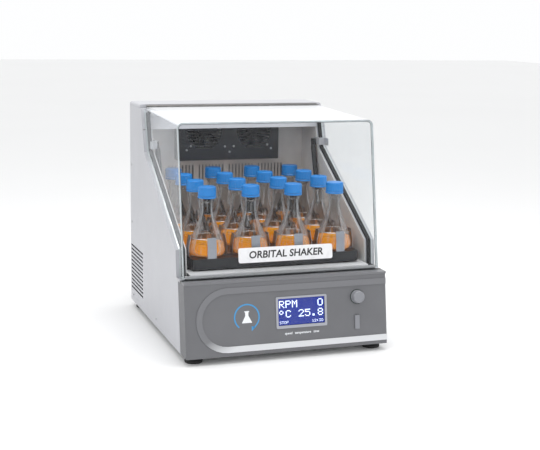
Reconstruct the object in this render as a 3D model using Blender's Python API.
"""Benchtop orbital shaker: a lidded incubation chamber over a triple-crank drive.

Metres, +Z up, front towards -Y, origin on the bench under the middle of the cabinet.
Each named object is one separate piece of the real machine.
"""
import math

import bmesh
import bpy
from mathutils import Matrix, Vector

for leftover in list(bpy.data.objects):
    bpy.data.objects.remove(leftover, do_unlink=True)

# ---------------------------------------------------------------- driving dimensions
GAP = 0.0003                    # between pieces that touch
EASE = 0.0005                   # slack round panels and in slots
WIDTH = 0.640                   # cabinet, over the side panels
FRONT_Y = -0.3793               # foot of the fascia
REAR_Y = 0.3797                 # back of the top panel
HEIGHT = 0.715                  # top of the cabinet above the bench
BODY_Z = 0.020                  # underside of the cabinet
SHEET = 0.002                   # cabinet sheet metal
SILL_Z = 0.2415                 # ledge on which the lid closes
FASCIA_WALL = 0.003
FASCIA_LEAN = math.radians(8.05)
FASCIA_RETURN = 0.068           # depth of the fascia's side returns
HINGE_Y = 0.214
HINGE_BELOW_TOP = 0.0052
LID_WIDTH = 0.622
LID_WALL = 0.006
LID_CORNER = 0.018              # bend between the lid's top and sides
LID_GAP = 0.003                 # lid edge to the rim it closes on
DECK_Z = 0.235
LINER_X = 0.287                 # inner face of the chamber's side walls
LINER_BACK_Y = 0.318
PLATFORM_SIZE = 0.536
PLATFORM_Z = 0.290
PLATFORM_SHEET = 0.003
PLATFORM_SKIRT = 0.032
PLATFORM_Y = 0.015
CRANK_THROW = 0.0127            # half of the 25.4 mm orbit
CLAMP_PITCH = (PLATFORM_SIZE + 0.016) / 4
FLASK_RADIUS = PLATFORM_SIZE / 2 - 1.5 * CLAMP_PITCH - 0.003
FOOT_RADIUS = 0.027
FOOT_X = 0.285
FOOT_Y = 0.330
KNOB_RADIUS = 0.0205
KNOB_LENGTH = 0.020
STRUT_RADIUS = 0.0085
STRUT_ROD_RADIUS = 0.004

HALF = WIDTH / 2
INNER_X = HALF - SHEET - 0.0005
TOP_PANEL_Z = HEIGHT - 0.011    # lower edge of the top panel's rolled sides
HINGE_Z = HEIGHT - HINGE_BELOW_TOP
HINGE = Vector((0, HINGE_Y, HINGE_Z))


# Louvres in the left panel and vents in the rear one: lowest slot, pitch, slot height, count.
LOUVRES = (0.066, 0.0135, 0.0065, 12)
LOUVRE_Y = (0.190, 0.372)
VENTS = (0.110, 0.018, 0.007, 8)
VENT_HALF = 0.110
PAN_HEIGHT = 0.024              # base pan's folded edges
PAN_SHEET = 0.003
THROUGH = 0.01                  # how far a cutter runs past the sheet it cuts


# ---------------------------------------------------------------- outlines in a plane
def offset_path(points, distance):
    """Shift an open path sideways, to the left of its direction, with mitred corners."""
    normals = []
    for (a0, b0), (a1, b1) in zip(points, points[1:]):
        length = math.hypot(a1 - a0, b1 - b0)
        normals.append((-(b1 - b0) / length, (a1 - a0) / length))
    shifted = []
    for index, (a, b) in enumerate(points):
        before = normals[max(index - 1, 0)]
        after = normals[min(index, len(normals) - 1)]
        scale = distance / (1 + before[0] * after[0] + before[1] * after[1])
        shifted.append((a + (before[0] + after[0]) * scale, b + (before[1] + after[1]) * scale))
    return shifted


def strip(points, low, high):
    """Outline of a strip along a path, between two sideways offsets."""
    return offset_path(points, low) + offset_path(points, high)[::-1]


def arc(centre, radius, start, end, steps):
    """Points on an arc, angles in degrees."""
    angles = [math.radians(start + (end - start) * i / steps) for i in range(steps + 1)]
    return [(centre[0] + radius * math.cos(t), centre[1] + radius * math.sin(t)) for t in angles]


def rectangle(a0, a1, b0, b1):
    return [(a0, b0), (a1, b0), (a1, b1), (a0, b1)]


def rounded(a0, a1, b0, b1, radius, steps=4):
    """A rectangle with four rounded corners."""
    corners = ((a1 - radius, b1 - radius, 0), (a0 + radius, b1 - radius, 90),
               (a0 + radius, b0 + radius, 180), (a1 - radius, b0 + radius, 270))
    outline = []
    for a, b, start in corners:
        outline += arc((a, b), radius, start, start + 90, steps)
    return outline


def circle(centre, radius, steps):
    return arc(centre, radius, 0, 360, steps)[:-1]


def mirrored(points):
    return [(-a, b) for a, b in points][::-1]


# ---------------------------------------------------------------- solids
PLANES = {"X": (1, 2, 0), "Y": (0, 2, 1), "Z": (0, 1, 2)}


def add_prism(bm, outline, axis, low, high, twist=0.0, layers=1):
    """Extrude an outline along an axis; the outline's two numbers are the other axes in order."""
    first, second, along = PLANES[axis]
    rings = []
    for layer in range(layers + 1):
        share = layer / layers
        turn = math.radians(twist) * share
        ring = []
        for a, b in outline:
            point = [0.0, 0.0, 0.0]
            point[first] = a * math.cos(turn) - b * math.sin(turn)
            point[second] = a * math.sin(turn) + b * math.cos(turn)
            point[along] = low + (high - low) * share
            ring.append(bm.verts.new(point))
        rings.append(ring)
    bm.faces.new(rings[0])
    bm.faces.new(rings[-1][::-1])
    for lower, upper in zip(rings, rings[1:]):
        for i in range(len(outline)):
            j = (i + 1) % len(outline)
            bm.faces.new((lower[i], lower[j], upper[j], upper[i]))


def add_turned(bm, profile, axis, centre, steps=24, ring=False):
    """Turn a profile of (radius, height) about an axis; ring=True closes it on itself."""
    first, second, along = PLANES[axis]
    loops = []
    for radius, height in profile:
        loop = []
        for i in range(1 if radius == 0 else steps):
            angle = 2 * math.pi * i / steps
            point = list(centre)
            point[first] += radius * math.cos(angle)
            point[second] += radius * math.sin(angle)
            point[along] += height
            loop.append(bm.verts.new(point))
        loops.append(loop)
    pairs = list(zip(loops, loops[1:]))
    if ring:
        pairs.append((loops[-1], loops[0]))
    for lower, upper in pairs:
        for i in range(steps):
            j = (i + 1) % steps
            if len(lower) == 1:
                bm.faces.new((lower[0], upper[j], upper[i]))
            elif len(upper) == 1:
                bm.faces.new((lower[i], lower[j], upper[0]))
            else:
                bm.faces.new((lower[i], lower[j], upper[j], upper[i]))


def solid(name, *shapes, finish=None, origin=(0, 0, 0), matrix=None):
    """One object from shapes, each a function that fills a bmesh and its arguments.

    The matrix places the shapes; the origin is the object's own, in the cabinet's frame.
    """
    bm = bmesh.new()
    for shape, *settings in shapes:
        shape(bm, *settings)
    bmesh.ops.recalc_face_normals(bm, faces=bm.faces)
    bmesh.ops.transform(bm, verts=bm.verts, matrix=matrix or Matrix.Identity(4))
    bmesh.ops.translate(bm, verts=bm.verts, vec=-Vector(origin))
    mesh = bpy.data.meshes.new(name)
    bm.to_mesh(mesh)
    bm.free()
    piece = bpy.data.objects.new(name, mesh)
    bpy.context.scene.collection.objects.link(piece)
    piece.location = origin
    if finish:
        mesh.materials.append(finish)
    return piece


def combine(piece, tool, operation):
    """Join a tool to a piece, or cut it away; the tool itself is only a guide."""
    tool.hide_render = True
    tool.display_type = "WIRE"
    modifier = piece.modifiers.new(tool.name, "BOOLEAN")
    modifier.operation = operation
    modifier.solver = "EXACT"
    modifier.object = tool
    return piece


def cut(piece, *shapes, matrix=None):
    name = f"cut_{piece.name}_{len(piece.modifiers)}"
    return combine(piece, solid(name, *shapes, matrix=matrix), "DIFFERENCE")


def join(piece, *shapes, matrix=None):
    name = f"join_{piece.name}_{len(piece.modifiers)}"
    return combine(piece, solid(name, *shapes, matrix=matrix), "UNION")


def smooth(piece, degrees=35):
    piece.data.shade_smooth()
    piece.data.set_sharp_from_angle(angle=math.radians(degrees))
    return piece


def box(x0, x1, y0, y1, z0, z1):
    return (add_prism, rectangle(x0, x1, y0, y1), "Z", z0, z1)


# ---------------------------------------------------------------- finishes
def make_finish(name, color, roughness, metallic=0.0, alpha=1.0):
    finish = bpy.data.materials.new(name)
    finish.use_nodes = True
    shader = finish.node_tree.nodes["Principled BSDF"]
    shader.inputs["Base Color"].default_value = (*color, 1.0)
    shader.inputs["Roughness"].default_value = roughness
    shader.inputs["Metallic"].default_value = metallic
    shader.inputs["Alpha"].default_value = alpha
    return finish


WHITE_PAINT = make_finish("white_paint", (0.72, 0.72, 0.76), 0.35)
LINER_GREY = make_finish("liner_grey", (0.52, 0.53, 0.54), 0.40, 0.3)
FASCIA_GREY = make_finish("fascia_grey", (0.20, 0.205, 0.215), 0.45)
SILVER = make_finish("silver_trim", (0.80, 0.81, 0.83), 0.25, 0.9)
STEEL = make_finish("zinc_steel", (0.60, 0.61, 0.62), 0.35, 1.0)
BLACK_STEEL = make_finish("black_steel", (0.016, 0.017, 0.020), 0.42, 0.2)
BLACK_RUBBER = make_finish("black_rubber", (0.015, 0.015, 0.016), 0.75)
BLACK_PLASTIC = make_finish("black_plastic", (0.02, 0.02, 0.022), 0.45)
CLEAR_ACRYLIC = make_finish("clear_acrylic", (0.90, 0.92, 0.95), 0.05, 0.0, 0.25)
LABEL_WHITE = make_finish("label_white", (0.88, 0.88, 0.90), 0.30)
DISPLAY_BLUE = make_finish("display_blue", (0.03, 0.06, 0.45), 0.20)
KNOB_GREY = make_finish("knob_grey", (0.42, 0.43, 0.45), 0.40)
CLAMP_GREY = make_finish("clamp_grey", (0.38, 0.40, 0.45), 0.35, 0.8)
CAST_IRON = make_finish("cast_iron", (0.16, 0.16, 0.17), 0.60, 0.7)
BOARD_GREEN = make_finish("board_green", (0.03, 0.20, 0.08), 0.50)
COPPER_RED = make_finish("heater_steel", (0.36, 0.30, 0.27), 0.40, 0.9)

# ---------------------------------------------------------------- the closing rim, seen from the side
# Path of (y, z) from the hinge down the sloping sides and forward along the sill.
RIM = [(0.206, HEIGHT - 0.015), (0.162, HEIGHT - 0.149), (-0.252, SILL_Z + 0.0815),
       (-0.262, SILL_Z), (FRONT_Y + 0.0318, SILL_Z)]
HEADER_Z = HEIGHT - 0.079       # underside of the hinge header


def on_rim(z):
    """The rim's y at a height on its top stretch."""
    (y0, z0), (y1, z1) = RIM[:2]
    return y0 + (y1 - y0) * (z - z0) / (z1 - z0)


def slope_matrix(foot_y, foot_z, lean):
    """Local x, up and outward axes of a face that leans back from its foot."""
    up = Vector((0, math.sin(lean), math.cos(lean)))
    out = Vector((0, -math.cos(lean), math.sin(lean)))
    frame = Matrix((Vector((1, 0, 0)), up, out)).transposed().to_4x4()
    return Matrix.Translation((0, foot_y, foot_z)) @ frame


FASCIA_Z = BODY_Z + 0.002
FASCIA_TOP = SILL_Z - 0.0067
FASCIA = slope_matrix(FRONT_Y, FASCIA_Z, FASCIA_LEAN)


def fascia_y(z):
    return FRONT_Y + (z - FASCIA_Z) * math.tan(FASCIA_LEAN)


def slot_heights(lowest, pitch, height, count):
    """Lower and upper edge of each slot in a stack."""
    return [(lowest + row * pitch, lowest + row * pitch + height) for row in range(count)]


def build_cabinet():
    """Sheet-metal casing, each panel a separate pressing."""
    front_low = fascia_y(BODY_Z) + FASCIA_RETURN + 0.0005
    front_high = fascia_y(SILL_Z) + FASCIA_RETURN + 0.0005
    rear = REAR_Y - 0.0005
    outline = [(front_low, BODY_Z + 0.0005), (rear, BODY_Z + 0.0005), (rear, TOP_PANEL_Z - 0.0005),
               (RIM[0][0] + 0.004, TOP_PANEL_Z - 0.0005), *RIM[:3],
               (RIM[3][0], SILL_Z + GAP + 0.0005), (front_high, SILL_Z + GAP + 0.0005)]
    for name, x0, x1 in (("side_panel_left", -HALF, SHEET - HALF),
                         ("side_panel_right", HALF - SHEET, HALF)):
        solid(name, (add_prism, outline, "X", x0, x1), finish=WHITE_PAINT)
    slots = [box(-HALF - THROUGH, -HALF + THROUGH, *LOUVRE_Y, z0, z1) for z0, z1 in slot_heights(*LOUVRES)]
    cut(bpy.data.objects["side_panel_left"], *slots)

    rear_panel = solid("rear_panel", box(-INNER_X, INNER_X, rear - SHEET, rear,
                                         BODY_Z + 0.0035, TOP_PANEL_Z - 0.0005), finish=WHITE_PAINT)
    behind = (rear - THROUGH, rear + THROUGH)
    vents = [box(-VENT_HALF, VENT_HALF, *behind, z0, z1) for z0, z1 in slot_heights(*VENTS)]
    vents.append(box(*INLET_X, *behind, *INLET_Z))
    vents.append(box(*ROCKER_X, *behind, *ROCKER_Z))
    cut(rear_panel, *vents)

    top_front = HINGE_Y + 0.0115
    top = solid("top_panel", (add_rolled_lid, HALF, top_front, REAR_Y, TOP_PANEL_Z, HEIGHT, 0.009),
                finish=WHITE_PAINT)
    cut(top, (add_rolled_lid, HALF - SHEET, top_front + SHEET, REAR_Y - SHEET, TOP_PANEL_Z - 0.01,
              HEIGHT - SHEET, 0.007))

    header_path = [(HINGE_Y + 0.0105, HEADER_Z), (on_rim(HEADER_Z), HEADER_Z),
                   (on_rim(TOP_PANEL_Z - 0.0005), TOP_PANEL_Z - 0.0005),
                   (HINGE_Y + 0.0105, TOP_PANEL_Z - 0.0005)]
    solid("hinge_header", (add_prism, strip(header_path, 0, -0.0025), "X", -INNER_X, INNER_X),
          finish=WHITE_PAINT)

    pan_front = fascia_y(BODY_Z + PAN_HEIGHT) + FASCIA_WALL + 0.0006
    pan_rear = rear - SHEET - GAP
    pan = solid("base_pan", box(-INNER_X, INNER_X, pan_front, pan_rear, BODY_Z,
                                BODY_Z + PAN_HEIGHT),
                finish=STEEL)
    corner_x = HALF - 0.0052
    inside_x = corner_x - PAN_SHEET
    cut(pan, box(-inside_x, inside_x, pan_front + PAN_SHEET, pan_rear - PAN_SHEET, BODY_Z + PAN_SHEET,
                 BODY_Z + 0.05))
    notch_y = fascia_y(BODY_Z + PAN_HEIGHT) + FASCIA_RETURN + 0.0082
    corners = [box(x0, x1, FRONT_Y - 0.02, notch_y, 0, 0.1)
               for x0, x1 in ((-HALF - 0.1, -corner_x), (corner_x, HALF + 0.1))]
    cut(pan, *corners)
    stems = [(add_prism, circle((x, y), FOOT_STEM + 0.0004, 16), "Z", 0, BODY_Z + 0.01)
             for x in (-FOOT_X, FOOT_X) for y in (-FOOT_Y, FOOT_Y)]
    cut(pan, *stems)


def add_rolled_lid(bm, half, y0, y1, z0, z1, radius):
    """A block whose two sides and rear roll over into its top."""
    add_prism(bm, rectangle(-half, half, y0, y1), "Z", z0, z1)
    edges = []
    for edge in bm.edges:
        ends = [vertex.co for vertex in edge.verts]
        on_top = all(abs(point.z - z1) < 1e-6 for point in ends)
        front = all(abs(point.y - y0) < 1e-6 for point in ends)
        if on_top and not front:
            edges.append(edge)
    bmesh.ops.bevel(bm, geom=edges, offset=radius, segments=4, profile=0.5, affect="EDGES")


def build_rim():
    """White flanges that the lid closes on, the sill under the fascia's top and the seal."""
    flange = [(on_rim(HEADER_Z - 0.002), HEADER_Z - 0.002), RIM[1], RIM[2],
              (RIM[3][0], SILL_Z - 0.003)]
    frame = solid("rim_frame", box(-INNER_X, INNER_X, RIM[4][0], RIM[3][0] + 0.006,
                                   SILL_Z - 0.006, SILL_Z), finish=WHITE_PAINT)
    lip = box(-HALF + 0.0005, HALF - 0.0005, RIM[4][0] - 0.002, RIM[4][0] + 0.0005,
              SILL_Z - 0.0062, SILL_Z)
    join(frame, lip)
    for side in (-1, 1):
        x0, x1 = sorted((side * (LINER_X + SHEET + GAP), side * INNER_X))
        join(frame, (add_prism, strip(flange, 0, 0.003), "X", x0, x1))
        x0, x1 = sorted((side * (INNER_X - 0.0005), side * (HALF - 0.0005)))
        join(frame, box(x0, x1, RIM[4][0] - 0.001,
                        fascia_y(SILL_Z - 0.0062) + FASCIA_RETURN - 0.0004, SILL_Z - 0.0062, SILL_Z))

    front = LID_FOOT_Y + (LID_WALL + GAP) / math.cos(LID_LEAN) + SEAL_HEIGHT * math.tan(LID_LEAN)
    seal_path = [(on_rim(RIM[0][1] - 0.0125), RIM[0][1] - 0.0125), RIM[1], RIM[2], RIM[3],
                 (front, SILL_Z)]
    outer = LID_WIDTH / 2 - LID_WALL - GAP
    inner = outer - 0.0112
    seal_low = -GAP
    seal_high = -SEAL_HEIGHT
    front_bar = rectangle(front - EASE, front + 0.0105, SILL_Z + GAP + 0.0001,
                          SILL_Z + SEAL_HEIGHT - 0.0002)
    seal = solid("lid_gasket", (add_prism, front_bar, "X", -outer + 0.001, outer - 0.001),
                 finish=BLACK_RUBBER)
    top_bar = [(on_rim(RIM[0][1] - drop), RIM[0][1] - drop) for drop in (0.004, 0.015)]
    join(seal, (add_prism, strip(top_bar, seal_low - 0.0001, seal_high + 0.0002), "X", -outer + 0.006,
                outer - 0.006))
    for side in (-1, 1):
        x0, x1 = sorted((side * inner, side * outer))
        join(seal, (add_prism, strip(seal_path, seal_low, seal_high), "X", x0, x1))


def build_chamber():
    """Folded liner, deck with its opening, and the tray that covers the drive."""
    outline = [(-LINER_X - SHEET, -0.30), (-LINER_X, -0.30), (-LINER_X, LINER_BACK_Y),
               (LINER_X, LINER_BACK_Y), (LINER_X, -0.30), (LINER_X + SHEET, -0.30),
               (LINER_X + SHEET, LINER_BACK_Y + SHEET), (-LINER_X - SHEET, LINER_BACK_Y + SHEET)]
    liner = solid("chamber_liner", (add_prism, outline, "Z", DECK_Z + 0.0007, TOP_PANEL_Z - 0.001),
                  finish=LINER_GREY)
    behind_header = HINGE_Y + 0.0110
    ahead = [(behind_header, 0.9), (behind_header, HEADER_Z - 0.0005),
             (on_rim(HEADER_Z - 0.0005), HEADER_Z - 0.0005), RIM[1], RIM[2],
             (RIM[3][0], SILL_Z + 0.0007), (RIM[3][0] + 0.0063, SILL_Z + 0.0007),
             (RIM[3][0] + 0.0063, -0.05), (-0.5, -0.05), (-0.5, 0.9)]
    cut(liner, (add_prism, ahead, "X", -0.4, 0.4))
    slots = []
    for column in range(-18, 18):
        x = (column + 0.5) * 0.012
        if column % 9:
            slots.append(box(x - 0.0025, x + 0.0025, LINER_BACK_Y - 0.01, LINER_BACK_Y + 0.01,
                             0.445, 0.497))
    cut(liner, *slots)
    bores = [(add_prism, circle((x, FAN_Z), FAN_SHAFT + 0.0005, 12), "Y",
              LINER_BACK_Y - 0.01, LINER_BACK_Y + 0.01) for x in (-FAN_X, FAN_X)]
    cut(liner, *bores)

    well = (-WELL_X, WELL_X, PLATFORM_Y - WELL_Y, PLATFORM_Y + WELL_Y)
    deck = solid("deck", box(-LINER_X - SHEET, LINER_X + SHEET, RIM[3][0] - 0.035,
                             LINER_BACK_Y + SHEET, DECK_Z - 0.003, DECK_Z), finish=WHITE_PAINT)
    cut(deck, (add_prism, rounded(*well, WELL_RADIUS, 7), "Z", 0.1, 0.3))
    seal = solid("deck_seal", (add_prism, rounded(well[0] - 0.003, well[1] + 0.003, well[2] - 0.008,
                                                  well[3] + 0.008, WELL_RADIUS + 0.003, 7),
                               "Z", DECK_Z + GAP, DECK_Z + 0.0045), finish=BLACK_RUBBER)
    cut(seal, (add_prism, rounded(well[0] + 0.006, well[1] - 0.006, well[2] + 0.006,
                                  well[3] - 0.006, WELL_RADIUS - 0.006, 7), "Z", 0.1, 0.3))
    cover = solid("drive_cover", (add_prism, rounded(well[0] - 0.004, well[1] + 0.004, well[2] - 0.004,
                                                     well[3] + 0.004, WELL_RADIUS, 5),
                                  "Z", COVER_Z, DECK_Z - 0.003 - GAP), finish=BLACK_STEEL)
    cut(cover, (add_prism, rounded(well[0] - 0.002, well[1] + 0.002, well[2] - 0.002,
                                   well[3] + 0.002, WELL_RADIUS - 0.002, 5), "Z", COVER_Z + 0.002, 0.3))
    ports = [(add_prism, circle(shaft_axis(name), CRANK_THROW + 0.016, 16), "Z", 0.1, 0.3)
             for name in CRANKS]
    cut(cover, *ports)
    ribs = []
    for side in (-1, 1):
        for y0, y1 in ((-0.245, -0.132), (0.162, 0.290)):
            x0, x1 = sorted((side * 0.2735, side * 0.2765))
            ribs.append(box(x0, x1, y0, y1, DECK_Z - 0.002, DECK_Z + 0.009))
    join(deck, *ribs)


# ---------------------------------------------------------------- recirculation fans and heater
FAN_X = 0.088
FAN_Z = 0.617
FAN_SHAFT = 0.004
FAN_RADIUS = 0.052
FAN_FRONT_Y = 0.262
FAN_BOX_HALF = 0.179
FAN_BOX_SHEET = 0.0015
FAN_BLADES = 7
GRILLE_RADIUS = 0.060
GRILLE_PITCH = 0.0105
GRILLE_SLOT = 0.0056
GRILLE_RIB = 0.001              # half width of the grille's upright rib


def add_fan_wheel(bm, y0, y1):
    """Swept blades round a hub, as one twisted extrusion."""
    outline = []
    hub = 0.018
    for blade in range(FAN_BLADES):
        base = blade * 360 / FAN_BLADES
        for radius, angle in ((hub, -16), (FAN_RADIUS, -7), (FAN_RADIUS, 5), (hub, 12)):
            turn = math.radians(base + angle)
            outline.append((radius * math.cos(turn), radius * math.sin(turn)))
    add_prism(bm, outline, "Y", y0, y1, 24, 2)


def build_fans():
    """Black fan box with two slotted grilles, a wheel and a motor behind each, and the heater."""
    top = FAN_Z + 0.073
    low = FAN_Z - 0.098
    housing = solid("fan_housing", box(-FAN_BOX_HALF, FAN_BOX_HALF, FAN_FRONT_Y, LINER_BACK_Y - GAP,
                                       low, top), finish=BLACK_STEEL)
    inner = FAN_BOX_HALF - FAN_BOX_SHEET
    cut(housing, box(-inner, inner, FAN_FRONT_Y + FAN_BOX_SHEET, LINER_BACK_Y + 0.1,
                     low + FAN_BOX_SHEET, top - FAN_BOX_SHEET))
    slots = []
    for side in (-1, 1):
        for row in range(-5, 6):
            z = row * GRILLE_PITCH
            reach = math.sqrt(GRILLE_RADIUS ** 2 - z ** 2)
            for x0, x1 in ((-reach, -GRILLE_RIB), (GRILLE_RIB, reach)):
                x0 += side * FAN_X
                x1 += side * FAN_X
                slots.append(box(x0, x1, FAN_FRONT_Y - THROUGH, FAN_FRONT_Y + THROUGH,
                                 FAN_Z + z - GRILLE_SLOT / 2, FAN_Z + z + GRILLE_SLOT / 2))
    cut(housing, *slots)
    for side, label in ((-1, "left"), (1, "right")):
        axis_point = Vector((side * FAN_X, 0, FAN_Z))
        wheel = solid(f"fan_wheel_{label}", (add_fan_wheel, FAN_FRONT_Y + 0.012, FAN_FRONT_Y + 0.034),
                      finish=BLACK_PLASTIC, origin=axis_point, matrix=Matrix.Translation(axis_point))
        join(wheel, (add_prism, circle((side * FAN_X, FAN_Z), FAN_SHAFT, 10), "Y", FAN_FRONT_Y + 0.030,
                     LINER_BACK_Y + 0.020))
    back = LINER_BACK_Y + SHEET + 0.0005
    motors = solid("fan_motors", box(-FAN_X - 0.035, FAN_X + 0.035, back, back + 0.003, FAN_Z - 0.024,
                                     FAN_Z + 0.024), finish=STEEL)
    cans = [(add_prism, circle((x, FAN_Z), 0.028, 20), "Y", back + 0.001, back + 0.038)
            for x in (-FAN_X, FAN_X)]
    join(motors, *cans)
    cut(motors, *[(add_prism, circle((x, FAN_Z), FAN_SHAFT + 0.0004, 12), "Y", 0.2, back + 0.026)
                  for x in (-FAN_X, FAN_X)])
    path = [(-0.20, 0.405), (0.20, 0.405), (0.20, 0.375), (-0.20, 0.375)]
    solid("heater_element", (add_prism, strip(path, -0.005, 0.005), "Y",
                             LINER_BACK_Y + SHEET + 0.0007, LINER_BACK_Y + SHEET + 0.011),
          finish=COPPER_RED)


# ---------------------------------------------------------------- lid
LID_FOOT_Y = -0.309
LID_FOOT_Z = SILL_Z + LID_GAP
LID_TOP_Y = -0.236
LID_TOP_Z = HEIGHT - 0.018
LID_REAR = (HINGE_Y - 0.0105, HEIGHT - 0.0055)
LID_HEIGHT = math.hypot(LID_TOP_Y - LID_FOOT_Y, LID_TOP_Z - LID_FOOT_Z)
LID_LEAN = math.atan2(LID_TOP_Y - LID_FOOT_Y, LID_TOP_Z - LID_FOOT_Z)
LID_FACE = slope_matrix(LID_FOOT_Y, LID_FOOT_Z, LID_LEAN)
NAME_PLATE = (-0.140, 0.160, 0.0385, 0.0835)
SEAL_HEIGHT = 0.0088
LEAF = 0.0015
BARREL = 0.004


def add_arch(bm, half, wall, radius, low, high):
    """A sheet bent over two rounded edges, run along Y."""
    outline = [(half, -0.7)] + arc((half - radius, -radius), radius, 0, 90, 6)
    outline += arc((radius - half, -radius), radius, 90, 180, 6) + [(-half, -0.7)]
    outline += [(wall - half, -0.7)] + arc((radius - half, -radius), radius - wall, 180, 90, 5)
    outline += arc((half - radius, -radius), radius - wall, 90, 0, 5) + [(half - wall, -0.7)]
    add_prism(bm, outline, "Y", low, high)


def build_lid():
    """Clear lid: a sheet bent over the top and sides, and a flat front pane."""
    half = LID_WIDTH / 2
    behind = (LID_WALL + GAP) / math.cos(LID_LEAN)
    slope = math.atan2(LID_REAR[1] - LID_TOP_Z, LID_REAR[0] - LID_TOP_Y)
    tilt = Matrix.Translation((0, *LID_REAR)) @ Matrix.Rotation(slope, 4, "X")
    wrap = solid("lid_wrap", (add_arch, half, LID_WALL, LID_CORNER, -0.6, 0.1), finish=CLEAR_ACRYLIC,
                 origin=HINGE, matrix=tilt)
    edge = offset_path(RIM[:4] + [(LID_FOOT_Y, SILL_Z)], -LID_GAP)
    side = [(LID_REAR[0], LID_REAR[1] + 0.1),
            (LID_TOP_Y + behind + 0.1 * math.tan(LID_LEAN), LID_TOP_Z + 0.1),
            (LID_FOOT_Y + behind, LID_FOOT_Z)] + edge[3::-1]
    keep = solid("keep_lid_wrap", (add_prism, side, "X", -0.4, 0.4))
    combine(wrap, keep, "INTERSECT")

    pane = [(-half, 0), (half, 0)]
    pane += arc((half - LID_CORNER, LID_HEIGHT - LID_CORNER), LID_CORNER, 0, 90, 5)
    pane += arc((LID_CORNER - half, LID_HEIGHT - LID_CORNER), LID_CORNER, 90, 180, 5)
    solid("lid_front", (add_prism, pane, "Z", -LID_WALL, 0), finish=CLEAR_ACRYLIC, origin=HINGE,
          matrix=LID_FACE)
    plate = rounded(*NAME_PLATE, 0.006, 3)
    solid("name_plate", (add_prism, plate, "Z", GAP, 0.0018), finish=LABEL_WHITE, origin=HINGE,
          matrix=LID_FACE)

    for side, label in ((-1, "left"), (1, "right")):
        x0, x1 = sorted((side * 0.258, side * (half - LID_CORNER)))
        top_z = -LID_WALL - GAP
        block = rounded(x0, x1, top_z - 0.018, top_z, 0.002, 2)
        solid(f"lid_corner_block_{label}", (add_prism, block, "Y", -0.062, -0.024), finish=KNOB_GREY,
              origin=HINGE, matrix=tilt)


def build_hinge():
    """Piano hinge: a leaf on the lid, and a leaf on the header that carries the pin."""
    length = LID_WIDTH / 2 - 0.012
    steps = 14
    pitch = 2 * length / 15
    low = TOP_PANEL_Z - 0.0005 + GAP
    leaves = (
        ("hinge_leaf_fixed", [(HINGE_Y - 0.006, low), (HINGE_Y + 0.0100, low),
                              (HINGE_Y + 0.0100, low + LEAF), (HINGE_Y - 0.006, low + LEAF)], 0),
        ("hinge_leaf_lid", [(HINGE_Y - 0.022, LID_REAR[1] + GAP), (HINGE_Y, LID_REAR[1] + GAP),
                            (HINGE_Y, LID_REAR[1] + GAP + LEAF),
                            (HINGE_Y - 0.022, LID_REAR[1] + GAP + LEAF)], 1))
    for name, leaf, first in leaves:
        piece = solid(name, (add_prism, leaf, "X", -length, length), finish=STEEL, origin=HINGE)
        join(piece, (add_prism, circle((HINGE_Y, HINGE_Z), BARREL, steps), "X", -length, length))
        if first == 0:
            join(piece, box(-length, length, HINGE_Y - 0.003, HINGE_Y + 0.003, low, HINGE_Z))
        gaps = []
        for knuckle in range(1 - first, 15, 2):
            x0 = -length + knuckle * pitch - 0.0002
            x1 = x0 + pitch + 0.0004
            if first == 0:
                gaps.append(box(x0, x1, HINGE_Y - 0.0042 - 0.0005, HINGE_Y + 0.0045, low + LEAF, 1))
            else:
                gaps.append(box(x0, x1, HINGE_Y - 0.0046, HINGE_Y + 0.01, 0.5, 1))
        cut(piece, *gaps)
        if first == 0:
            join(piece, (add_prism, circle((HINGE_Y, HINGE_Z), 0.0019, 10), "X", -length + 0.001,
                         length - 0.001))
        else:
            cut(piece, (add_prism, circle((HINGE_Y, HINGE_Z), 0.0023, 10), "X", -1, 1))


# ---------------------------------------------------------------- gas struts
STRUT_TOP = (HINGE_Y - 0.040, HINGE_Z - 0.120)
STRUT_FOOT = (HINGE_Y - 0.105, HINGE_Z - 0.325)
STRUT_X = 0.2730
STRUT_LENGTH = math.dist(STRUT_TOP, STRUT_FOOT)
STRUT_TILT = math.atan2(STRUT_TOP[0] - STRUT_FOOT[0], STRUT_TOP[1] - STRUT_FOOT[1])
EYE = 0.0075


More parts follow.
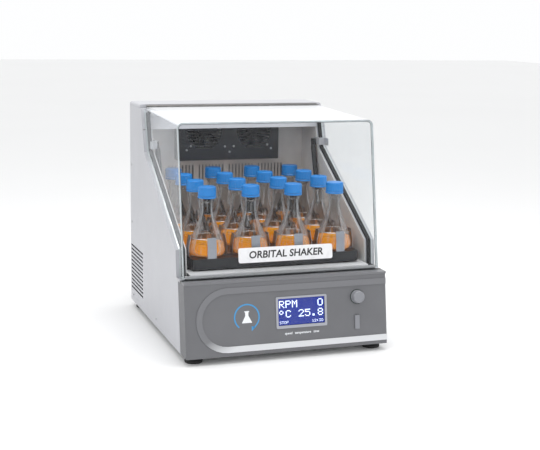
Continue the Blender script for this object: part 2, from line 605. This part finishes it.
def build_struts():
    """On each side a cylinder above, a rod below, a stud in the wall and an ear on the lid."""
    for side, label in ((-1, "left"), (1, "right")):
        foot = (side * STRUT_X, *STRUT_FOOT)
        lie = Matrix.Translation(foot) @ Matrix.Rotation(-STRUT_TILT, 4, "X")
        rod_top = STRUT_LENGTH - 0.035
        barrel_low = 0.045
        rod = solid(f"strut_rod_{label}", (add_prism, circle((0, 0), EYE, 16), "X", -0.005, 0.005),
                    finish=STEEL, origin=foot, matrix=lie)
        join(rod, (add_prism, circle((0, 0), STRUT_ROD_RADIUS, 12), "Z", 0.0055, rod_top), matrix=lie)
        cut(rod, (add_prism, circle((0, 0), 0.0043, 12), "X", -0.02, 0.02), matrix=lie)
        body = [(0, STRUT_LENGTH - 0.012), (STRUT_RADIUS * 0.6, STRUT_LENGTH - 0.012),
                (STRUT_RADIUS, STRUT_LENGTH - 0.022), (STRUT_RADIUS, barrel_low + 0.002),
                (STRUT_RADIUS - 0.002, barrel_low), (STRUT_ROD_RADIUS + 0.0004, barrel_low),
                (STRUT_ROD_RADIUS + 0.0004, rod_top + 0.002), (0, rod_top + 0.002)]
        cylinder = solid(f"strut_cylinder_{label}", (add_turned, body, "Z", (0, 0, 0), 16),
                         finish=BLACK_PLASTIC, origin=foot, matrix=lie)
        smooth(cylinder)
        eye = rounded(-EYE, EYE, STRUT_LENGTH - 0.016, STRUT_LENGTH + EYE, 0.005, 3)
        x0, x1 = sorted((side * -0.004, side * 0.0085))
        join(cylinder, (add_prism, eye, "X", x0, x1), matrix=lie)

        wall = sorted((side * (STRUT_X - 0.008), side * (LINER_X - GAP)))
        stud = solid(f"strut_stud_{label}", (add_prism, circle(STRUT_FOOT, 0.0040, 12), "X", *wall),
                     finish=SILVER)
        join(stud, (add_prism, circle(STRUT_FOOT, 0.0085, 12), "X",
                    *sorted((side * (STRUT_X + 0.0055), side * (LINER_X - GAP)))))
        bracket = [(LID_WIDTH / 2 - LID_WALL - GAP - 0.00125, STRUT_TOP[0] - 0.066),
                   (LID_WIDTH / 2 - LID_WALL - GAP - 0.00125, STRUT_TOP[0] - 0.034),
                   (STRUT_X + 0.0101, STRUT_TOP[0] - 0.034), (STRUT_X + 0.0101, STRUT_TOP[0] + 0.010)]
        plan = strip(bracket, -0.00125, 0.00125)
        if side < 0:
            plan = mirrored(plan)
        solid(f"strut_ear_{label}", (add_prism, plan, "Z", STRUT_TOP[1] - 0.012, STRUT_TOP[1] + 0.012),
              finish=KNOB_GREY, origin=HINGE)


# ---------------------------------------------------------------- fascia and its controls
# On the fascia, measured across from the middle and up from its foot.
TRIM_U = (0.011, 0.202)
TRIM_WIDTH = 0.018
TRIM_LEFT = -0.287
DISPLAY = (-0.035, 0.115, 0.078, 0.160)
KNOB = (0.2215, 0.1500)
BUTTON = (0.2120, 0.2270, 0.0520, 0.0940)
INLET_X = (0.190, 0.238)
INLET_Z = (0.060, 0.088)
ROCKER_X = (0.150, 0.170)
ROCKER_Z = (0.062, 0.087)
ROCKER_TILT = -12               # degrees; the rocker rests pressed in at one end


def build_fascia():
    """Moulded front cover with side returns, its trim, display, knob and button."""
    outline = [(fascia_y(FASCIA_Z), FASCIA_Z), (fascia_y(FASCIA_TOP), FASCIA_TOP),
               (fascia_y(FASCIA_TOP) + FASCIA_RETURN, FASCIA_TOP),
               (fascia_y(FASCIA_Z) + FASCIA_RETURN, FASCIA_Z)]
    fascia = solid("fascia", (add_fascia_block, outline, HALF - 0.0005, 0.006), finish=FASCIA_GREY)
    back = FASCIA_WALL / math.cos(FASCIA_LEAN)
    hollow = [(fascia_y(-0.1) + back, -0.1), (fascia_y(0.5) + back, 0.5), (0.1, 0.5), (0.1, -0.1)]
    cut(fascia, (add_fascia_block, hollow, HALF - 0.0005 - FASCIA_WALL, 0.003))
    cut(fascia, (add_prism, rounded(*DISPLAY, 0.003, 2), "Z", -0.01, 0.01),
        (add_prism, circle(KNOB, KNOB_RADIUS + 0.002, 28), "Z", -0.01, 0.01),
        (add_prism, rectangle(BUTTON[0] - 0.0006, BUTTON[1] + 0.0006, BUTTON[2] - 0.0006,
                              BUTTON[3] + 0.0006), "Z", -0.01, 0.01), matrix=FASCIA)

    low, high = TRIM_U
    width = TRIM_WIDTH
    end = HALF - 0.0025
    radius = (high - low) / 2
    centre = (TRIM_LEFT + radius, (low + high) / 2)
    trim = [(end, low)] + arc(centre, radius, 270, 90, 16) + [(end, high), (end, high - width)]
    trim += arc(centre, radius - width, 90, 270, 14) + [(end, low + width)]
    solid("accent_strip", (add_prism, trim, "Z", GAP, 0.0020), finish=SILVER, matrix=FASCIA)

    x0, x1, u0, u1 = DISPLAY
    border = rounded(x0 - 0.006, x1 + 0.006, u0 - 0.008, u1 + 0.005, 0.004, 2)
    bezel = solid("display_bezel", (add_prism, border, "Z", GAP, 0.0025), finish=KNOB_GREY, matrix=FASCIA)
    cut(bezel, (add_prism, rounded(x0 + 0.0006, x1 - 0.0006, u0 + 0.0006, u1 - 0.0006, 0.002, 2),
                "Z", -0.01, 0.01), matrix=FASCIA)
    solid("display_module", (add_prism, rectangle(x0 + 0.0012, x1 - 0.0012, u0 + 0.0012, u1 - 0.0012),
                             "Z", -0.0140, -0.0015), finish=DISPLAY_BLUE, matrix=FASCIA)
    board = solid("control_board", (add_prism, rectangle(x0 - 0.010, KNOB[0] + 0.025, BUTTON[2] - 0.008,
                                                         u1 + 0.012), "Z", -0.0160, -0.0143),
                  finish=BOARD_GREEN, matrix=FASCIA)
    bore = 0.0036
    encoder = [(bore, -0.0150), (0.0085, -0.0150), (0.0085, -0.0060), (0.0240, -0.0060),
               (0.0240, -0.0034), (bore, -0.0034)]
    x0, x1, u0, u1 = BUTTON
    join(board, (add_turned, encoder, "Z", (*KNOB, 0), 24, True),
         (add_prism, rectangle(x0 + 0.001, x1 - 0.001, u0 + 0.012, u1 - 0.012), "Z", -0.0150, -0.0108),
         matrix=FASCIA)

    seat = FASCIA @ Vector((*KNOB, 0))
    plunger = [(0, -0.0125), (0.0032, -0.0125), (0.0032, 0.0085), (0, 0.0085)]
    smooth(solid("encoder_plunger", (add_turned, plunger, "Z", (*KNOB, 0), 12), finish=STEEL,
                 origin=seat, matrix=FASCIA))
    radius = KNOB_RADIUS
    cap = [(0, 0.0088), (0.0036, 0.0088), (0.0036, 0), (radius, 0), (radius, 0.0030),
           (radius - 0.0010, 0.0042), (radius - 0.0022, KNOB_LENGTH - 0.0030),
           (radius - 0.0045, KNOB_LENGTH - 0.0006), (radius - 0.0065, KNOB_LENGTH),
           (0, KNOB_LENGTH - 0.0008)]
    smooth(solid("control_knob", (add_turned, cap, "Z", (*KNOB, 0), 32), finish=KNOB_GREY, origin=seat,
                 matrix=FASCIA), 30)
    key = [(add_prism, rounded(x0, x1, u0, u1, 0.0015, 2), "Z", -0.0090, 0.0035)]
    solid("start_button", *key, finish=KNOB_GREY, origin=FASCIA @ Vector(((x0 + x1) / 2, (u0 + u1) / 2, 0)),
          matrix=FASCIA)


def add_fascia_block(bm, outline, half, radius):
    """Extrude the fascia's side outline across and round its two upright front corners."""
    add_prism(bm, outline, "X", -half, half)
    edges = []
    for edge in bm.edges:
        ends = [(vertex.co.y, vertex.co.z) for vertex in edge.verts]
        front = all(any(math.dist(end, point) < 1e-6 for point in outline[:2]) for end in ends)
        if front and math.dist(*ends) > 1e-3:
            edges.append(edge)
    bmesh.ops.bevel(bm, geom=edges, offset=radius, segments=3, profile=0.5, affect="EDGES")


def build_rear_fittings():
    """Mains inlet and power rocker, set in the rear panel."""
    rear = REAR_Y - 0.0005
    behind = rear - SHEET - GAP
    inlet = solid("mains_inlet", box(ROCKER_X[0] - 0.004, INLET_X[1] + 0.004, rear - 0.032, behind,
                                     INLET_Z[0] - 0.004, INLET_Z[1] + 0.004), finish=BLACK_PLASTIC)
    noses = []
    for (x0, x1), (z0, z1) in ((INLET_X, INLET_Z), (ROCKER_X, ROCKER_Z)):
        noses.append(box(x0 + 0.0005, x1 - 0.0005, behind - 0.001, rear - GAP, z0 + 0.0005, z1 - 0.0005))
    join(inlet, *noses)
    x0, x1 = INLET_X
    z0, z1 = INLET_Z
    rx0, rx1 = ROCKER_X
    rz0, rz1 = ROCKER_Z
    cut(inlet, box(x0 + 0.010, x1 - 0.010, rear - 0.020, rear + 0.01, z0 + 0.005, z1 - 0.005),
        box(rx0 + 0.0020, rx1 - 0.0020, rear - 0.022, rear + 0.01, rz0 + 0.0015, rz1 - 0.0015))
    middle_x = (x0 + x1) / 2
    middle_z = (z0 + z1) / 2
    blades = [box(middle_x + dx - 0.001, middle_x + dx + 0.001, rear - 0.021, rear - 0.006,
                  middle_z + dz - 0.002, middle_z + dz + 0.002)
              for dx, dz in ((-0.007, -0.002), (0.0, 0.003), (0.007, -0.002))]
    join(inlet, *blades)

    pivot_y = rear - 0.010
    pivot_z = (rz0 + rz1) / 2
    rocker = [(0.0082, -0.0085), (0.0068, 0), (0.0082, 0.0085), (0.0025, 0.0085), (-0.0030, 0.0030),
              (-0.0030, -0.0030), (0.0025, -0.0085)]
    tilt = math.radians(ROCKER_TILT)
    outline = [(pivot_y + out * math.cos(tilt) - up * math.sin(tilt),
                pivot_z + out * math.sin(tilt) + up * math.cos(tilt)) for out, up in rocker]
    solid("power_rocker", (add_prism, outline, "X", rx0 + 0.0025, rx1 - 0.0025), finish=BLACK_PLASTIC,
          origin=(0, pivot_y, pivot_z))


# ---------------------------------------------------------------- drive
# Rest position of each crank's pin; its shaft stands one throw nearer the front.
CRANKS = {"main": (0.0, PLATFORM_Y - 0.110), "left": (-0.150, PLATFORM_Y + 0.070),
          "right": (0.150, PLATFORM_Y + 0.070)}
WELL_RADIUS = 0.100
WELL_X = LINER_X - 0.004
WELL_Y = 0.192
COVER_Z = 0.2180
FRAME_Z = 0.100
FRAME_PLATE = 0.006
SHAFT = {"main": 0.0125, "left": 0.010, "right": 0.010}
PIN = {"main": 0.010, "left": 0.008, "right": 0.008}
RUNNING = 0.0004                # radial clearance of every shaft and pin
CRANK_LOW = 0.196
CRANK_HIGH = 0.212
PIN_TOP = 0.258
MOTOR_Y = PLATFORM_Y + 0.110
BIG_PULLEY = 0.075
SMALL_PULLEY = 0.025
PULLEY_Z = (0.070, 0.092)
FOOT_STEM = 0.006


def shaft_axis(name):
    return (CRANKS[name][0], CRANKS[name][1] - CRANK_THROW)


def add_pulley(bm, centre, radius, bore):
    """Flat-belt pulley with a flange above and below the belt."""
    low, high = PULLEY_Z
    profile = [(bore, low), (radius + 0.004, low), (radius + 0.004, low + 0.003), (radius, low + 0.0035),
               (radius, high - 0.0035), (radius + 0.004, high - 0.003), (radius + 0.004, high),
               (bore, high)]
    add_turned(bm, profile, "Z", (*centre, 0), 32, True)


def build_drive():
    """Frame, motor, belt, three cranks with their bearing housings, and the counterweight."""
    low = BODY_Z + 0.003 + GAP
    frame = solid("drive_frame", box(-0.250, 0.250, PLATFORM_Y - 0.200, PLATFORM_Y + 0.200, FRAME_Z,
                                     FRAME_Z + FRAME_PLATE), finish=CAST_IRON)
    for x in (-0.235, 0.235):
        for y in (-0.185, 0.185):
            join(frame, box(x - 0.014, x + 0.014, PLATFORM_Y + y - 0.014, PLATFORM_Y + y + 0.014,
                            low, FRAME_Z + 0.001))
    for name in CRANKS:
        top = 0.148 if name == "main" else 0.190
        profile = [(0, FRAME_Z + 0.002), (SHAFT[name] + 0.024, FRAME_Z + 0.002),
                   (SHAFT[name] + 0.024, FRAME_Z + 0.014), (SHAFT[name] + 0.014, FRAME_Z + 0.017),
                   (SHAFT[name] + 0.012, top), (0, top)]
        join(frame, (add_turned, profile, "Z", (*shaft_axis(name), 0), 24))
    bores = [(add_prism, circle(shaft_axis(name), SHAFT[name] + RUNNING, 24), "Z", 0.05, 0.2)
             for name in CRANKS]
    bores.append((add_prism, circle((0, MOTOR_Y), 0.012, 16), "Z", 0.05, 0.2))
    cut(frame, *bores)

    for name in CRANKS:
        shaft_low = 0.064 if name == "main" else 0.098
        web = SHAFT[name] + 0.020
        shaft_profile = [(0, shaft_low), (SHAFT[name], shaft_low), (SHAFT[name], CRANK_LOW),
                         (web, CRANK_LOW), (web, CRANK_HIGH), (0, CRANK_HIGH)]
        crank = solid(f"crank_{name}", (add_turned, shaft_profile, "Z", (*shaft_axis(name), 0), 24),
                      finish=STEEL, origin=(*shaft_axis(name), 0))
        join(crank, (add_prism, circle(CRANKS[name], PIN[name], 16), "Z", CRANK_HIGH - 0.004, PIN_TOP))

    centre = shaft_axis("main")
    weight = arc(centre, 0.085, 205, 335, 16) + arc(centre, 0.026, -20, 200, 12)
    join(bpy.data.objects["crank_main"], (add_prism, weight, "Z", 0.151, 0.184))
    pulley = solid("drive_pulley", (add_pulley, centre, BIG_PULLEY, SHAFT["main"] + GAP), finish=CAST_IRON,
                   origin=(*centre, 0))
    smooth(pulley)
    motor_axis = (0, MOTOR_Y)
    small = solid("motor_pulley", (add_pulley, motor_axis, SMALL_PULLEY, 0.0050), finish=STEEL,
                  origin=(*motor_axis, 0))
    join(small, (add_prism, circle(motor_axis, 0.006, 16), "Z", PULLEY_Z[0] - 0.002, 0.124))
    base = FRAME_Z + FRAME_PLATE + GAP
    motor_profile = [(0, 0.126), (0.0064, 0.126), (0.0064, base), (0.050, base), (0.050, base + 0.006),
                     (0.044, base + 0.008), (0.044, 0.188), (0.036, 0.196), (0, 0.196)]
    motor = solid("motor", (add_turned, motor_profile, "Z", (*motor_axis, 0), 28), finish=BLACK_STEEL)
    smooth(motor)

    distance = MOTOR_Y - centre[1]
    inner_big = BIG_PULLEY + GAP
    inner_small = SMALL_PULLEY + GAP
    lean = math.degrees(math.asin((inner_big - inner_small) / distance))
    loops = []
    for extra in (0.0, 0.0035):
        loop = arc(centre, inner_big + extra, 180 - lean, 360 + lean, 28)
        loop += arc(motor_axis, inner_small + extra, lean, 180 - lean, 12)
        loops.append(loop)
    belt = solid("drive_belt", (add_prism, loops[1], "Z", PULLEY_Z[0] + 0.0045, PULLEY_Z[1] - 0.0045),
                 finish=BLACK_RUBBER)
    cut(belt, (add_prism, loops[0], "Z", 0.0, 0.3))


# ---------------------------------------------------------------- platform and clamps
def build_platform():
    """Carrier with bearing bosses, and the tray on it with its folded skirts."""
    under = PLATFORM_Z - PLATFORM_SHEET
    low = DECK_Z + 0.010
    carrier = solid("platform_carrier", box(-0.205, 0.205, PLATFORM_Y - 0.150, PLATFORM_Y + 0.150,
                                            under - GAP - 0.012, under - GAP), finish=CAST_IRON)
    for name in CRANKS:
        join(carrier, (add_prism, circle(CRANKS[name], 0.028, 20), "Z", low, under - GAP - 0.001))
    cut(carrier, *[(add_prism, circle(CRANKS[name], PIN[name] + RUNNING, 20), "Z", 0.2,
                    PIN_TOP + 0.002) for name in CRANKS])
    windows = [box(x0, x1, y0 + PLATFORM_Y, y1 + PLATFORM_Y, 0.2, 0.4)
               for x0, x1, y0, y1 in ((-0.185, -0.045, -0.130, 0.010), (0.045, 0.185, -0.130, 0.010),
                                      (-0.090, -0.010, 0.040, 0.130), (0.010, 0.090, 0.040, 0.130))]
    cut(carrier, *windows)

    half = PLATFORM_SIZE / 2
    tray = solid("platform", (add_prism, rounded(-half, half, PLATFORM_Y - half, PLATFORM_Y + half, 0.008, 2),
                              "Z", PLATFORM_Z - PLATFORM_SKIRT, PLATFORM_Z), finish=BLACK_STEEL)
    wall = PLATFORM_SHEET
    cut(tray, (add_prism, rounded(wall - half, half - wall, PLATFORM_Y - half + wall,
                                  PLATFORM_Y + half - wall, 0.005, 2), "Z", 0.2, under))

    for row in range(4):
        y = PLATFORM_Y + (row - 1.5) * CLAMP_PITCH
        reach = 1.5 * CLAMP_PITCH + 0.010
        base = PLATFORM_Z + GAP
        rail = solid(f"clamp_row_{row + 1}", box(-reach, reach, y - 0.009, y + 0.009, base, base + 0.0016),
                     finish=CLAMP_GREY)
        columns = [(column - 1.5) * CLAMP_PITCH for column in range(4)]
        join(rail, *[(add_prism, cross(x, y), "Z", base, base + CLAMP_SHEET) for x in columns])
        join(rail, *[(add_tab, x, y, base, turn) for x in columns for turn in range(4)])


CLAMP_SHEET = 0.0016
CLAMP_TAB = 0.014               # half width of a tab
CLAMP_HEIGHT = 0.062
CLAMP_REACH = FLASK_RADIUS + 0.0010


def quarter(x, y, a, b, turn):
    """A point (a, b) turned by quarter turns about (x, y)."""
    cosine, sine = ((1, 0), (0, 1), (-1, 0), (0, -1))[turn]
    return (x + a * cosine - b * sine, y + a * sine + b * cosine)


def cross(x, y):
    """Outline of the two crossed bands under a flask."""
    outline = []
    for turn in range(4):
        for a, b in ((CLAMP_TAB, -CLAMP_TAB), (CLAMP_REACH + CLAMP_SHEET, -CLAMP_TAB),
                     (CLAMP_REACH + CLAMP_SHEET, CLAMP_TAB)):
            outline.append(quarter(x, y, a, b, turn))
    return outline


def add_tab(bm, x, y, base, turn):
    """One band's end folded up, its top leaning in to hold the flask."""
    loops = []
    for height, lean in ((0, 0), (CLAMP_HEIGHT * 0.45, 0), (CLAMP_HEIGHT, 0.006)):
        near = CLAMP_REACH - lean
        far = near + CLAMP_SHEET
        corners = ((near, -CLAMP_TAB), (far, -CLAMP_TAB), (far, CLAMP_TAB), (near, CLAMP_TAB))
        loops.append([bm.verts.new((*quarter(x, y, a, b, turn), base + height)) for a, b in corners])
    bm.faces.new(loops[0])
    bm.faces.new(loops[-1][::-1])
    for lower, upper in zip(loops, loops[1:]):
        for i in range(4):
            j = (i + 1) % 4
            bm.faces.new((lower[i], lower[j], upper[j], upper[i]))


def build_feet():
    """Rubber levelling feet on threaded stems."""
    for x, side in ((-FOOT_X, "left"), (FOOT_X, "right")):
        for y, end in ((-FOOT_Y, "front"), (FOOT_Y, "rear")):
            profile = [(0, 0), (FOOT_RADIUS - 0.002, 0), (FOOT_RADIUS, 0.002), (FOOT_RADIUS, 0.009),
                       (FOOT_RADIUS - 0.004, 0.012), (0.013, 0.013), (0.013, BODY_Z - GAP),
                       (FOOT_STEM, BODY_Z - GAP), (FOOT_STEM, 0.055), (0, 0.055)]
            foot = solid(f"foot_{end}_{side}", (add_turned, profile, "Z", (x, y, 0), 24),
                         finish=BLACK_RUBBER, origin=(x, y, 0))
            smooth(foot)


build_cabinet()
build_rim()
build_chamber()
build_fans()
build_lid()
build_hinge()
build_struts()
build_fascia()
build_rear_fittings()
build_drive()
build_platform()
build_feet()
